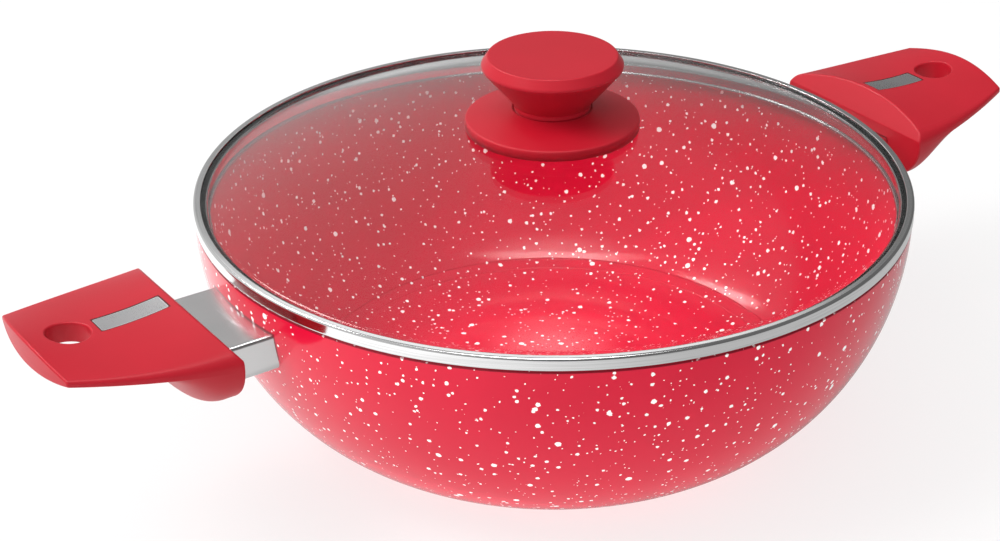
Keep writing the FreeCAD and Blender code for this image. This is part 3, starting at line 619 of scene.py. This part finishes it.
class Nodes:
    """Short calls that add nodes to a tree and join them."""

    def __init__(self, owner, output):
        owner.use_nodes = True
        self.tree = owner.node_tree
        self.tree.nodes.clear()
        self.output = self.add(output)

    def add(self, kind, settings=None, **inputs):
        """Adds a node; an input is a value or another node's output.

        An input is named with _ for spaces, or i and its number.
        """
        node = self.tree.nodes.new(kind)
        for key, value in (settings or {}).items():
            setattr(node, key, value)
        for key, value in inputs.items():
            index = int(key[1:]) if key[1:].isdigit() else key.replace("_", " ")
            socket = node.inputs[index]
            if isinstance(value, bpy.types.NodeSocket):
                self.tree.links.new(value, socket)
            elif socket.type == "RGBA":
                socket.default_value = (*value[:3], 1.0)
            else:
                socket.default_value = value
        return node

    def math(self, operation, a, b=0.0, clamp=False):
        """Result of arithmetic on numbers."""
        node = self.add("ShaderNodeMath", {"operation": operation, "use_clamp": clamp}, i0=a, i1=b)
        return node.outputs[0]

    def vector(self, operation, a, b=(0.0, 0.0, 0.0), c=(0.0, 0.0, 0.0)):
        """Node for arithmetic on vectors, with a vector as first output and a number as Value."""
        return self.add("ShaderNodeVectorMath", {"operation": operation}, i0=a, i1=b, i2=c)

    def place(self, scale=(1.0, 1.0, 1.0), map_name=None):
        """Object coordinates, or a UV map's, stretched by a scale."""
        if map_name:
            source = self.add("ShaderNodeUVMap", {"uv_map": map_name}).outputs[0]
        else:
            source = self.add("ShaderNodeTexCoord").outputs["Object"]
        return self.add("ShaderNodeMapping", Vector=source, Scale=scale).outputs[0]

    def noise(self, vector, size, detail=2.0, roughness=0.5):
        """Noise whose features are about a size across, on a vector in metres."""
        node = self.add("ShaderNodeTexNoise", Vector=vector, Scale=1.0 / size, Detail=detail,
                        Roughness=roughness)
        return node.outputs["Fac"]

    def blend(self, factor, first, second):
        """Colour between two others by a factor."""
        node = self.add("ShaderNodeMix", {"data_type": "RGBA"}, i0=factor, i6=first, i7=second)
        return node.outputs[2]

    def span(self, value, low, high, to_low=0.0, to_high=1.0, smooth=False):
        """Maps a value's range to another range."""
        kind = "SMOOTHSTEP" if smooth else "LINEAR"
        node = self.add("ShaderNodeMapRange", {"interpolation_type": kind}, i0=value, i1=low, i2=high,
                        i3=to_low, i4=to_high)
        return node.outputs[0]

    def separate(self, vector):
        """X, Y and Z of a vector."""
        return self.add("ShaderNodeSeparateXYZ", i0=vector).outputs

    def radius(self, vector):
        """Distance of a point from the Z axis."""
        level = self.vector("MULTIPLY", vector, LEVEL).outputs[0]
        return self.vector("LENGTH", level).outputs["Value"]

    def along(self, vector, direction):
        """How far a place or a direction lies along another direction."""
        return self.vector("DOT_PRODUCT", vector, direction).outputs["Value"]

    def outside(self, first, second, first_span, second_span):
        """How far a place lies outside a rectangle, from its two coordinates and their ranges.

        It is the larger of the two distances from the middle, each less half its range.
        """
        past = []
        for value, (low, high) in ((first, first_span), (second, second_span)):
            apart = self.math("ABSOLUTE", self.math("SUBTRACT", value, (low + high) / 2))
            past.append(self.math("SUBTRACT", apart, (high - low) / 2))
        return self.math("MAXIMUM", *past)

    def line(self, distance, start, end):
        """One where a distance lies between a start and an end, and nothing elsewhere."""
        past = self.math("GREATER_THAN", distance, start)
        return self.math("MULTIPLY", past, self.math("LESS_THAN", distance, end))

    def surface(self, shader):
        """Joins a shader to the tree's output."""
        self.tree.links.new(shader, self.output.inputs["Surface"])


class Finish(Nodes):
    """A material and its nodes."""

    def __init__(self, name):
        self.material = bpy.data.materials.new(name)
        super().__init__(self.material, "ShaderNodeOutputMaterial")

    def bump(self, height, distance, strength=1.0, below=None):
        """Normal of a relief, on top of the one below it."""
        node = self.add("ShaderNodeBump", Height=height, Distance=distance, Strength=strength)
        if below is not None:
            self.tree.links.new(below, node.inputs["Normal"])
        return node.outputs[0]

    def principled(self, **inputs):
        """Output of a Principled shader."""
        return self.add("ShaderNodeBsdfPrincipled", **inputs).outputs[0]

    def surface(self, shader):
        """Joins a shader to the output, and returns the material."""
        super().surface(shader)
        return self.material


def flecks(finish, vector, cell, smallest, biggest, rarity, edge):
    """Round flecks: at most one in each cell of a Voronoi pattern, with a radius that its cell draws.

    Cells that draw less than the rarity stay empty; above it the radius runs from the smallest to the
    biggest, and the fleck is where the distance to the cell's point is under that radius.
    """
    cells = finish.add("ShaderNodeTexVoronoi", Vector=vector, Scale=1.0 / cell, Randomness=1.0)
    draw = finish.add("ShaderNodeSeparateColor", Color=cells.outputs["Color"]).outputs[0]
    reach = finish.span(draw, rarity, 1.0, smallest / cell, biggest / cell)
    reach = finish.math("MULTIPLY", reach, finish.math("GREATER_THAN", draw, rarity))
    inside = finish.math("SUBTRACT", reach, cells.outputs["Distance"])
    return finish.math("MULTIPLY", inside, cell / edge, clamp=True)


def fleck_mask(finish, place, size):
    """Flecks of every size, with outlines that a fine noise moves."""
    noise = finish.add("ShaderNodeTexNoise", Vector=place, Scale=1.0 / WOBBLE_SIZE, Detail=1.0)
    stray = finish.vector("SUBTRACT", noise.outputs["Color"], MIDDLE).outputs[0]
    moved = finish.vector("MULTIPLY_ADD", stray, (WOBBLE,) * 3, place).outputs[0]
    unit = size.fleck_scale * MM
    mask = 0.0
    for cell, smallest, biggest, rarity, edge in FLECKS:
        layer = flecks(finish, moved, cell * unit, smallest * unit, biggest * unit, rarity, edge * unit)
        mask = finish.math("MAXIMUM", mask, layer)
    return mask


def painted_shadow_mask(finish, place, size):
    """Painted shadow round the feet of the flame guards, and along the rim's outer edge under the lid,
    where their shade falls on the coating.
    """
    across = finish.separate(place)
    depth = finish.math("SUBTRACT", size.rim_radius, finish.radius(place))
    low, high = GUARD_BOX
    guard = finish.outside(across[1], across[2], (low.y, high.y), (low.z, high.z))
    foot = finish.line(guard, -size.seam, size.seam)
    outer = finish.math("LESS_THAN", depth, OUTER_SHARE * size.wall)
    foot = finish.math("MULTIPLY", foot, outer)
    top = finish.math("GREATER_THAN", across[2], size.height - size.seam)
    lip = finish.math("MULTIPLY", top, finish.math("LESS_THAN", depth, size.seam / 2))
    return finish.math("MULTIPLY", finish.math("MAXIMUM", foot, lip), size.painted_shadow_depth)


def enamel(size):
    """Glossy red coating with white flecks and painted shadow under the lid and round the guards, and bare
    turned aluminium under the base.
    """
    finish = Finish("speckled_coating")
    place = finish.place()
    # colour: slow variation, painted shadow under the lid's rim and round the guards, flecks
    cloud = finish.noise(place, 45 * MM, 3.0)
    red = finish.blend(finish.span(cloud, 0.3, 0.7), size.deep_red, size.red)
    # painted shadow: the coating is darkened where the rim and the guards shade it, and no flecks show
    # there
    seam = painted_shadow_mask(finish, place, size)
    red = finish.blend(seam, red, size.painted_shadow_colour)
    mask = fleck_mask(finish, place, size)
    mask = finish.math("MULTIPLY", mask, finish.math("SUBTRACT", 1.0, seam))
    shade = finish.blend(mask, red, size.fleck)
    # relief: a faint unevenness, and flecks that stand a little proud
    peel = finish.noise(place, 2.2 * MM, 2.0)
    grain = finish.noise(place, 0.35 * MM, 1.0)
    relief = finish.bump(mask, 0.03 * MM, 0.6, finish.bump(peel, 0.010 * MM, 0.5))
    gloss = finish.span(grain, 0.3, 0.7, 0.30, 0.36)
    coating = finish.principled(Base_Color=shade, Roughness=gloss, Normal=relief, IOR=1.5,
                                Specular_IOR_Level=0.1, Coat_Weight=1.0, Coat_Roughness=0.11,
                                Coat_IOR=1.36)
    # turned metal: only on the base's underside
    rings = finish.noise(finish.place((1.0, 0.0, 0.0), "Turning"), 0.25 * MM, 3.0, 0.7)
    metal = finish.principled(Base_Color=size.metal, Metallic=1.0,
                              Roughness=finish.span(rings, 0.2, 0.8, 0.22, 0.38),
                              Normal=finish.bump(rings, 0.02 * MM, 0.6))
    within = finish.math("LESS_THAN", finish.radius(place), size.base_radius - size.bare_edge)
    ceiling = size.base_recess + 1.5 * size.groove_depth
    under = finish.math("LESS_THAN", finish.separate(place)[2], ceiling)
    bare = finish.math("MULTIPLY", within, under)
    mixed = finish.add("ShaderNodeMixShader", i0=bare, i1=coating, i2=metal).outputs[0]
    return finish.surface(mixed)


def brushed_metal(name, tint, rough, lines, along=(1.0, 1.0, 1.0), map_name=None, painted_reflection_bands=0.0, lean=0.0,
                  edge=0.0):
    """Brushed or polished metal: fine streaks, drawn out along the axis whose scale is small.

    Rough is about the middle of its roughness, and lines is the height of the streaks' relief. Wider
    streaks are darkened as painted dark reflection lines, by the given share; lean tips the sheen outwards
    along X, and edge is the width of a painted highlight along a plate's edge.
    """
    finish = Finish(name)
    place = finish.place(along, map_name)
    streaks = finish.noise(place, STREAK, 3.0, 0.65)
    shade = finish.blend(finish.span(streaks, 0.3, 0.7), shaded(tint, 0.94), tint)
    # painted reflection: wider streaks darkened towards a fifth of the tint, standing in for dark lines
    # reflected in polished steel
    if painted_reflection_bands:
        wide = finish.noise(place, 4 * STREAK, 2.0, 0.8)
        shade = finish.blend(finish.span(wide, 0.50, 0.58, 0.0, painted_reflection_bands), shade, shaded(tint, 0.2))
    # painted highlight: a white line along the inside of a plate's outline
    if edge:
        bright = finish.line(plate_edge(finish, place), -edge, 0.0)
        shade = finish.blend(bright, shade, WHITE)
    cloud = finish.noise(finish.place(), 14 * MM, 2.0)
    gloss = finish.math("ADD", finish.span(streaks, 0.25, 0.75, rough * 0.85, rough * 1.15),
                        finish.span(cloud, 0.3, 0.7, 0.0, 0.03))
    tipped = None
    if lean:
        outward = finish.math("ABSOLUTE", finish.separate(finish.place())[0])
        tipped = finish.bump(finish.math("MULTIPLY", outward, -lean), 1.0)
    normal = finish.bump(streaks, lines, 0.5, tipped)
    return finish.surface(finish.principled(Base_Color=shade, Metallic=1.0, Roughness=gloss, Normal=normal))


def clear_glass(size):
    """Tempered glass that lets lamps light what is under it."""
    finish = Finish("lid_glass")
    ripple = finish.bump(finish.noise(finish.place(), 60 * MM, 1.0), 0.05 * MM, 0.25)
    glass = finish.principled(Base_Color=size.glass, Roughness=0.0, IOR=1.5, Transmission_Weight=1.0,
                              Normal=ripple)
    passing = finish.add("ShaderNodeBsdfTransparent", Color=size.glass).outputs[0]
    shadow = finish.add("ShaderNodeLightPath").outputs["Is Shadow Ray"]
    return finish.surface(finish.add("ShaderNodeMixShader", i0=shadow, i1=glass, i2=passing).outputs[0])


def plate_edge(finish, place):
    """How far a place on a handle lies outside the outline of its plate."""
    across = finish.separate(place)
    low, high = PLATE_BOX
    return finish.outside(finish.math("ABSOLUTE", across[0]), across[1], (low.x, high.x), (low.y, high.y))


def moulded(name, size, plates=False):
    """Satin moulded plastic with a very fine grain and a soft sheen, with painted shadow in the narrow slot
    round the plates.
    """
    finish = Finish(name)
    place = finish.place()
    cloud = finish.noise(place, 30 * MM, 3.0)
    red = finish.blend(finish.span(cloud, 0.3, 0.7), size.plastic_deep, size.plastic)
    if plates:
        # painted shadow in the narrow slot round the plates
        gap = finish.line(plate_edge(finish, place), 0.0, size.gap)
        red = finish.blend(gap, red, shaded(size.plastic, 0.15))
    grain = finish.noise(place, 0.30 * MM, 3.0, 0.6)
    gloss = finish.span(grain, 0.3, 0.7, 0.36, 0.44)
    normal = finish.bump(grain, 0.012 * MM, 0.5)
    return finish.surface(finish.principled(Base_Color=red, Roughness=gloss, Normal=normal, IOR=1.46,
                                            Specular_IOR_Level=0.35, Sheen_Weight=0.02,
                                            Sheen_Roughness=0.4))


def silicone(size):
    """Matt silicone with a faint grain."""
    finish = Finish("gasket_silicone")
    grain = finish.noise(finish.place(), 0.5 * MM, 3.0)
    shade = finish.blend(finish.span(grain, 0.3, 0.7), shaded(size.rubber, 0.9), size.rubber)
    relief = finish.bump(grain, 0.02 * MM, 0.5)
    return finish.surface(finish.principled(Base_Color=shade, Roughness=0.6, Normal=relief))


# ---------------------------------------------------------------- operators for the pieces

def stand_for(piece, body, material, node):
    """Finishes a new piece, lets it ride on a body, and lets it stand for a CAD node."""
    piece.data.materials.append(material)
    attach(piece, body)
    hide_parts(node)


def refinish(material, *nodes):
    """Gives CAD nodes a new material."""
    for node in nodes:
        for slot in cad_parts[node].material_slots:
            slot.material = material


def both(node):
    """Names of the right and the left one of a pair of nodes."""
    return "right_" + node, "left_" + node


class BuildBowl(bpy.types.Operator):
    """Builds the coated bowl"""
    bl_idname = "wok.build_bowl"
    bl_label = "Bowl"

    def execute(self, context):
        size = context.scene.wok_bowl
        piece = revolve("bowl", bowl_profile(size))
        stand_for(piece, "wok", enamel(size), "wok_bowl")
        return {"FINISHED"}


class BuildLid(bpy.types.Operator):
    """Builds the glass and its rolled steel rim"""
    bl_idname = "wok.build_lid"
    bl_label = "Lid"

    def execute(self, context):
        size = context.scene.wok_lid
        rim = revolve("rolled_rim", rim_profile(size))
        finish = brushed_metal("rim_steel", size.steel, rough=0.10, lines=0.004 * MM,
                               along=(1.0, 0.012, 1.0), map_name="Turning", painted_reflection_bands=0.12)
        stand_for(rim, "lid", finish, "lid_rim")
        glass = revolve("dished_glass", glass_profile(size))
        stand_for(glass, "lid", clear_glass(size), "lid_glass")
        return {"FINISHED"}


class BuildKnob(bpy.types.Operator):
    """Builds the knob's base and grip"""
    bl_idname = "wok.build_knob"
    bl_label = "Knob"

    def execute(self, context):
        size = context.scene.wok_knob
        lid = context.scene.wok_lid
        finish = moulded("knob_plastic", context.scene.wok_finish)
        base = revolve("base_disc", knob_base_profile(size, lid), SECTORS // 2)
        stand_for(base, "lid", finish, "knob_base")
        grip = revolve("grip", knob_grip_profile(size, lid), SECTORS // 2)
        stand_for(grip, "lid", finish, "knob_grip")
        return {"FINISHED"}


class FinishHandles(bpy.types.Operator):
    """Gives the handles, their plates and the flame guards their finishes"""
    bl_idname = "wok.finish_handles"
    bl_label = "Handles"

    def execute(self, context):
        size = context.scene.wok_finish
        # the plates get a painted highlight along their edges
        plate = brushed_metal("plate_steel", size.plate, rough=0.28, lines=0.006 * MM, edge=0.4 * MM)
        guard = brushed_metal("guard_steel", size.guard, rough=0.22, lines=0.004 * MM,
                              along=(0.03, 1.0, 1.0), lean=0.12)
        refinish(moulded("handle_plastic", size, plates=True), *both("handle"))
        refinish(plate, *both("handle_plate"))
        refinish(guard, *both("flame_guard"))
        return {"FINISHED"}


class FinishFasteners(bpy.types.Operator):
    """Gives the screws, washers, studs, insert and gasket their finishes"""
    bl_idname = "wok.finish_fasteners"
    bl_label = "Fasteners"

    def execute(self, context):
        size = context.scene.wok_finish
        fastener = brushed_metal("fastener_steel", size.steel, rough=0.25, lines=0.004 * MM)
        stud = brushed_metal("stud_aluminium", size.aluminium, rough=0.35, lines=0.010 * MM)
        brass = brushed_metal("insert_brass", size.brass, rough=0.30, lines=0.006 * MM)
        refinish(fastener, "knob_screw", "knob_washer", *both("handle_screw"), *both("spring_washer"))
        refinish(stud, *both("weld_stud"))
        refinish(brass, "knob_insert")
        refinish(silicone(size), "knob_gasket")
        return {"FINISHED"}


# ---------------------------------------------------------------- stage

class Lamp(NamedTuple):
    """Oval softbox that faces the wok."""
    place: tuple
    length: float
    narrow: float = 1.0                  # its width, as a share of its length
    long_side: tuple = (1.0, 0.0, 0.0)   # direction of its length
    glossy: bool = True                  # gives highlights alone, or else diffuse light alone
    core: float = 0.0                    # share of it that is even, before its light fades
    only: tuple = ()                     # pieces that it lights, or all
    blocked: tuple = ()                  # pieces that shade it, or all


# places and lengths in metres; each lamp's power is the stage setting of the same name
LAMPS = {
    "key": Lamp((-1.43, 0.39, 1.85), 1.6, glossy=False),
    "top": Lamp((-0.20, -0.20, 2.10), 1.7, 0.65, (-0.78, 0.62, 0.0)),
    "strip": Lamp((-0.13, -0.06, 2.10), 2.2, 0.14, (-0.78, 0.62, 0.0)),
    "back": Lamp((-0.49, 1.28, 1.68), 1.2, 0.20, (0.08, 0.92, -0.42)),
    "window": Lamp((0.28, 0.40, 2.07), 0.75, 0.70, (0.83, -0.56, 0.0)),
    "inside_left": Lamp((-0.80, 0.90, 1.65), 1.6, glossy=False, only=("bowl",)),
    "inside_right": Lamp((0.90, 0.10, 1.80), 1.6, glossy=False, only=("bowl",)),
    "below": Lamp((-0.50, -0.20, -1.00), 2.2, glossy=False, only=("bowl",), blocked=("bowl",)),
    "rim": Lamp((1.07, 1.76, 1.40), 1.5, 0.30, (0.85, -0.52, 0.0), core=0.6, only=("rolled_rim",)),
}


def gathered(name, pieces):
    """Collection of pieces, outside the scene, for a lamp's light or shadow."""
    group = bpy.data.collections.new(name)
    for piece in pieces:
        group.objects.link(bpy.data.objects[piece])
    return group


def add_lamp(name, watts, kind):
    """Adds a softbox. Its light falls smoothly from one at its core to nothing at its edge."""
    data = bpy.data.lights.new(name, "AREA")
    data.energy = watts
    data.shape = "ELLIPSE"
    data.size = kind.length
    data.size_y = kind.length * kind.narrow
    nodes = Nodes(data, "ShaderNodeOutputLight")
    across = nodes.add("ShaderNodeNewGeometry").outputs["Parametric"]
    apart = nodes.radius(nodes.vector("SUBTRACT", across, MIDDLE).outputs[0])
    fade = nodes.span(apart, kind.core / 2, 0.5, 1.0, 0.0, smooth=True)
    nodes.surface(nodes.add("ShaderNodeEmission", Color=WHITE, Strength=fade).outputs[0])
    place = Vector(kind.place)
    back = (place - Vector((0.0, 0.0, CAD_BOX[1][2] / 2))).normalized()
    side = Vector(kind.long_side)
    side = (side - back * back.dot(side)).normalized()
    turn = Matrix((side, back.cross(side), back)).transposed()
    lamp = bpy.data.objects.new(name, data)
    lamp.matrix_world = Matrix.Translation(place) @ turn.to_4x4()
    lamp.visible_diffuse = not kind.glossy
    lamp.visible_glossy = kind.glossy
    lamp.visible_transmission = kind.glossy
    bpy.context.scene.collection.objects.link(lamp)
    if kind.only:
        lamp.light_linking.receiver_collection = gathered(name + "_lit", kind.only)
    if kind.blocked:
        lamp.light_linking.blocker_collection = gathered(name + "_blocked", kind.blocked)


def background_rays(nodes):
    """Two masks: rays from the camera, also through glass, and those that a shiny surface turned."""
    rays = nodes.add("ShaderNodeLightPath").outputs
    seen = nodes.math("MAXIMUM", rays["Is Camera Ray"], rays["Is Glossy Ray"])
    seen = nodes.math("MAXIMUM", seen, rays["Is Transmission Ray"])
    sharp = nodes.math("MULTIPLY", seen, nodes.math("LESS_THAN", rays["Diffuse Depth"], 0.5))
    turned = nodes.math("MULTIPLY", sharp, nodes.math("GREATER_THAN", rays["Glossy Depth"], 0.5))
    return nodes.math("SUBTRACT", sharp, turned), turned


def mirrored_sky(nodes, way, size):
    """Sky that shiny surfaces show in a direction: bright on the left and dim on the right."""
    return nodes.span(nodes.along(way, LIGHT_SIDE), *SKY_FADE, size.dim_sky, size.bright_sky, smooth=True)


def mirrored_floor(nodes, place, size):
    """Floor that shiny surfaces show: a bright and a dim side, darker under the wok, then the sky."""
    radius = nodes.radius(place)
    near = nodes.span(nodes.along(place, FLOOR_SIDE), *SIDE_FADE, size.floor_dim, size.floor_bright,
                      smooth=True)
    under = nodes.span(radius, *UNDER_FADE, size.floor_under, 1.0, smooth=True)
    near = nodes.math("MULTIPLY", near, under)
    away = nodes.vector("NORMALIZE", place).outputs[0]
    return nodes.span(radius, *FAR_FADE, near, mirrored_sky(nodes, away, size), smooth=True)


class BuildStage(bpy.types.Operator):
    """Builds the floor, the light and the camera"""
    bl_idname = "wok.build_stage"
    bl_label = "Stage"

    def execute(self, context):
        scene = context.scene
        size = scene.wok_stage
        self.floor(size)
        self.world(scene, size)
        for name, kind in LAMPS.items():
            add_lamp(name, getattr(size, name), kind)
        self.camera(scene, size)
        scene.view_settings.view_transform = "Standard"
        return {"FINISHED"}

    def floor(self, size):
        """Disc under the wok: lit and shadowed near it, and plain white background further out."""
        profile = [(0, -FLOOR_DEPTH), (size.floor_size, -FLOOR_DEPTH), (size.floor_size, 0), (0, 0)]
        floor = revolve("floor", profile, SECTORS // 2)
        finish = Finish("floor")
        place = finish.place()
        radius = finish.radius(place)
        far = finish.span(radius, size.floor_edge / 3, size.floor_edge, smooth=True)
        straight, mirrored = background_rays(finish)
        # what it reflects: its own colour, less of that to the camera, and nothing in shiny surfaces
        grain = finish.span(finish.noise(place, 3 * MM, 2.0), 0.2, 0.8)
        shade = finish.blend(grain, shaded(size.floor, 0.985), size.floor)
        shade = finish.blend(straight, shade, shaded(size.floor, size.floor_seen))
        shade = finish.blend(finish.math("MAXIMUM", far, mirrored), shade, BLACK)
        plain = finish.add("ShaderNodeBsdfDiffuse", Color=shade).outputs[0]
        # what it gives: to rough surfaces, to the camera and to shiny surfaces
        lift = finish.span(radius, *LIFT_FADE, size.floor_lift, 0.0, smooth=True)
        lift = finish.span(far, 0.0, 1.0, lift, size.floor[0])
        backdrop = finish.span(far, 0.0, 1.0, size.floor_glow, 1.0)
        glow = finish.span(straight, 0.0, 1.0, lift, backdrop)
        glow = finish.span(mirrored, 0.0, 1.0, glow, mirrored_floor(finish, place, size))
        light = finish.add("ShaderNodeEmission", Color=WHITE, Strength=glow).outputs[0]
        whole = finish.add("ShaderNodeAddShader", i0=plain, i1=light).outputs[0]
        floor.data.materials.append(finish.surface(whole))

    def world(self, scene, size):
        """Sky: white to the camera, and brighter from the left to rough and to shiny surfaces."""
        scene.world = bpy.data.worlds.new("studio")
        nodes = Nodes(scene.world, "ShaderNodeOutputWorld")
        way = nodes.add("ShaderNodeTexCoord").outputs["Generated"]
        soft = nodes.span(nodes.along(way, LIGHT_FROM), *SOFT_FADE, size.low_sky, size.high_sky,
                          smooth=True)
        straight, mirrored = background_rays(nodes)
        strength = nodes.span(straight, 0.0, 1.0, soft, 1.0)
        strength = nodes.span(mirrored, 0.0, 1.0, strength, mirrored_sky(nodes, way, size))
        nodes.surface(nodes.add("ShaderNodeBackground", Color=WHITE, Strength=strength).outputs[0])

    def camera(self, scene, size):
        """Camera at its place, turned by its heading, height and roll."""
        data = bpy.data.cameras.new("camera")
        data.lens = size.lens
        data.sensor_width = SENSOR
        camera = bpy.data.objects.new("camera", data)
        turn = (Matrix.Rotation(size.azimuth, 4, "Z")
                @ Matrix.Rotation(math.radians(90) - size.elevation, 4, "X")
                @ Matrix.Rotation(size.roll, 4, "Z"))
        camera.matrix_world = Matrix.Translation(Vector(size.camera)) @ turn
        scene.collection.objects.link(camera)
        scene.camera = camera


# ---------------------------------------------------------------- add-on

STEPS = (BuildBowl, BuildLid, BuildKnob, FinishHandles, FinishFasteners, BuildStage)


class WokPanel(bpy.types.Panel):
    """Lists what the add-on builds"""
    bl_idname = "VIEW3D_PT_wok"
    bl_label = "Wok with glass lid"
    bl_space_type = "VIEW_3D"
    bl_region_type = "UI"
    bl_category = "Wok"

    def draw(self, context):
        for step in STEPS:
            self.layout.operator(step.bl_idname)


GROUPS = {
    "wok_bowl": BowlSettings,
    "wok_lid": LidSettings,
    "wok_knob": KnobSettings,
    "wok_finish": FinishSettings,
    "wok_stage": StageSettings,
}


def register():
    for kind in (*GROUPS.values(), *STEPS, WokPanel):
        bpy.utils.register_class(kind)
    for name, group in GROUPS.items():
        setattr(bpy.types.Scene, name, PointerProperty(type=group))


def unregister():
    for name in GROUPS:
        delattr(bpy.types.Scene, name)
    for kind in reversed((*GROUPS.values(), *STEPS, WokPanel)):
        bpy.utils.unregister_class(kind)


def main():
    register()
    bpy.ops.wok.build_bowl()
    bpy.ops.wok.build_lid()
    bpy.ops.wok.build_knob()
    bpy.ops.wok.finish_handles()
    bpy.ops.wok.finish_fasteners()
    bpy.ops.wok.build_stage()


if __name__ == "__main__":
    main()
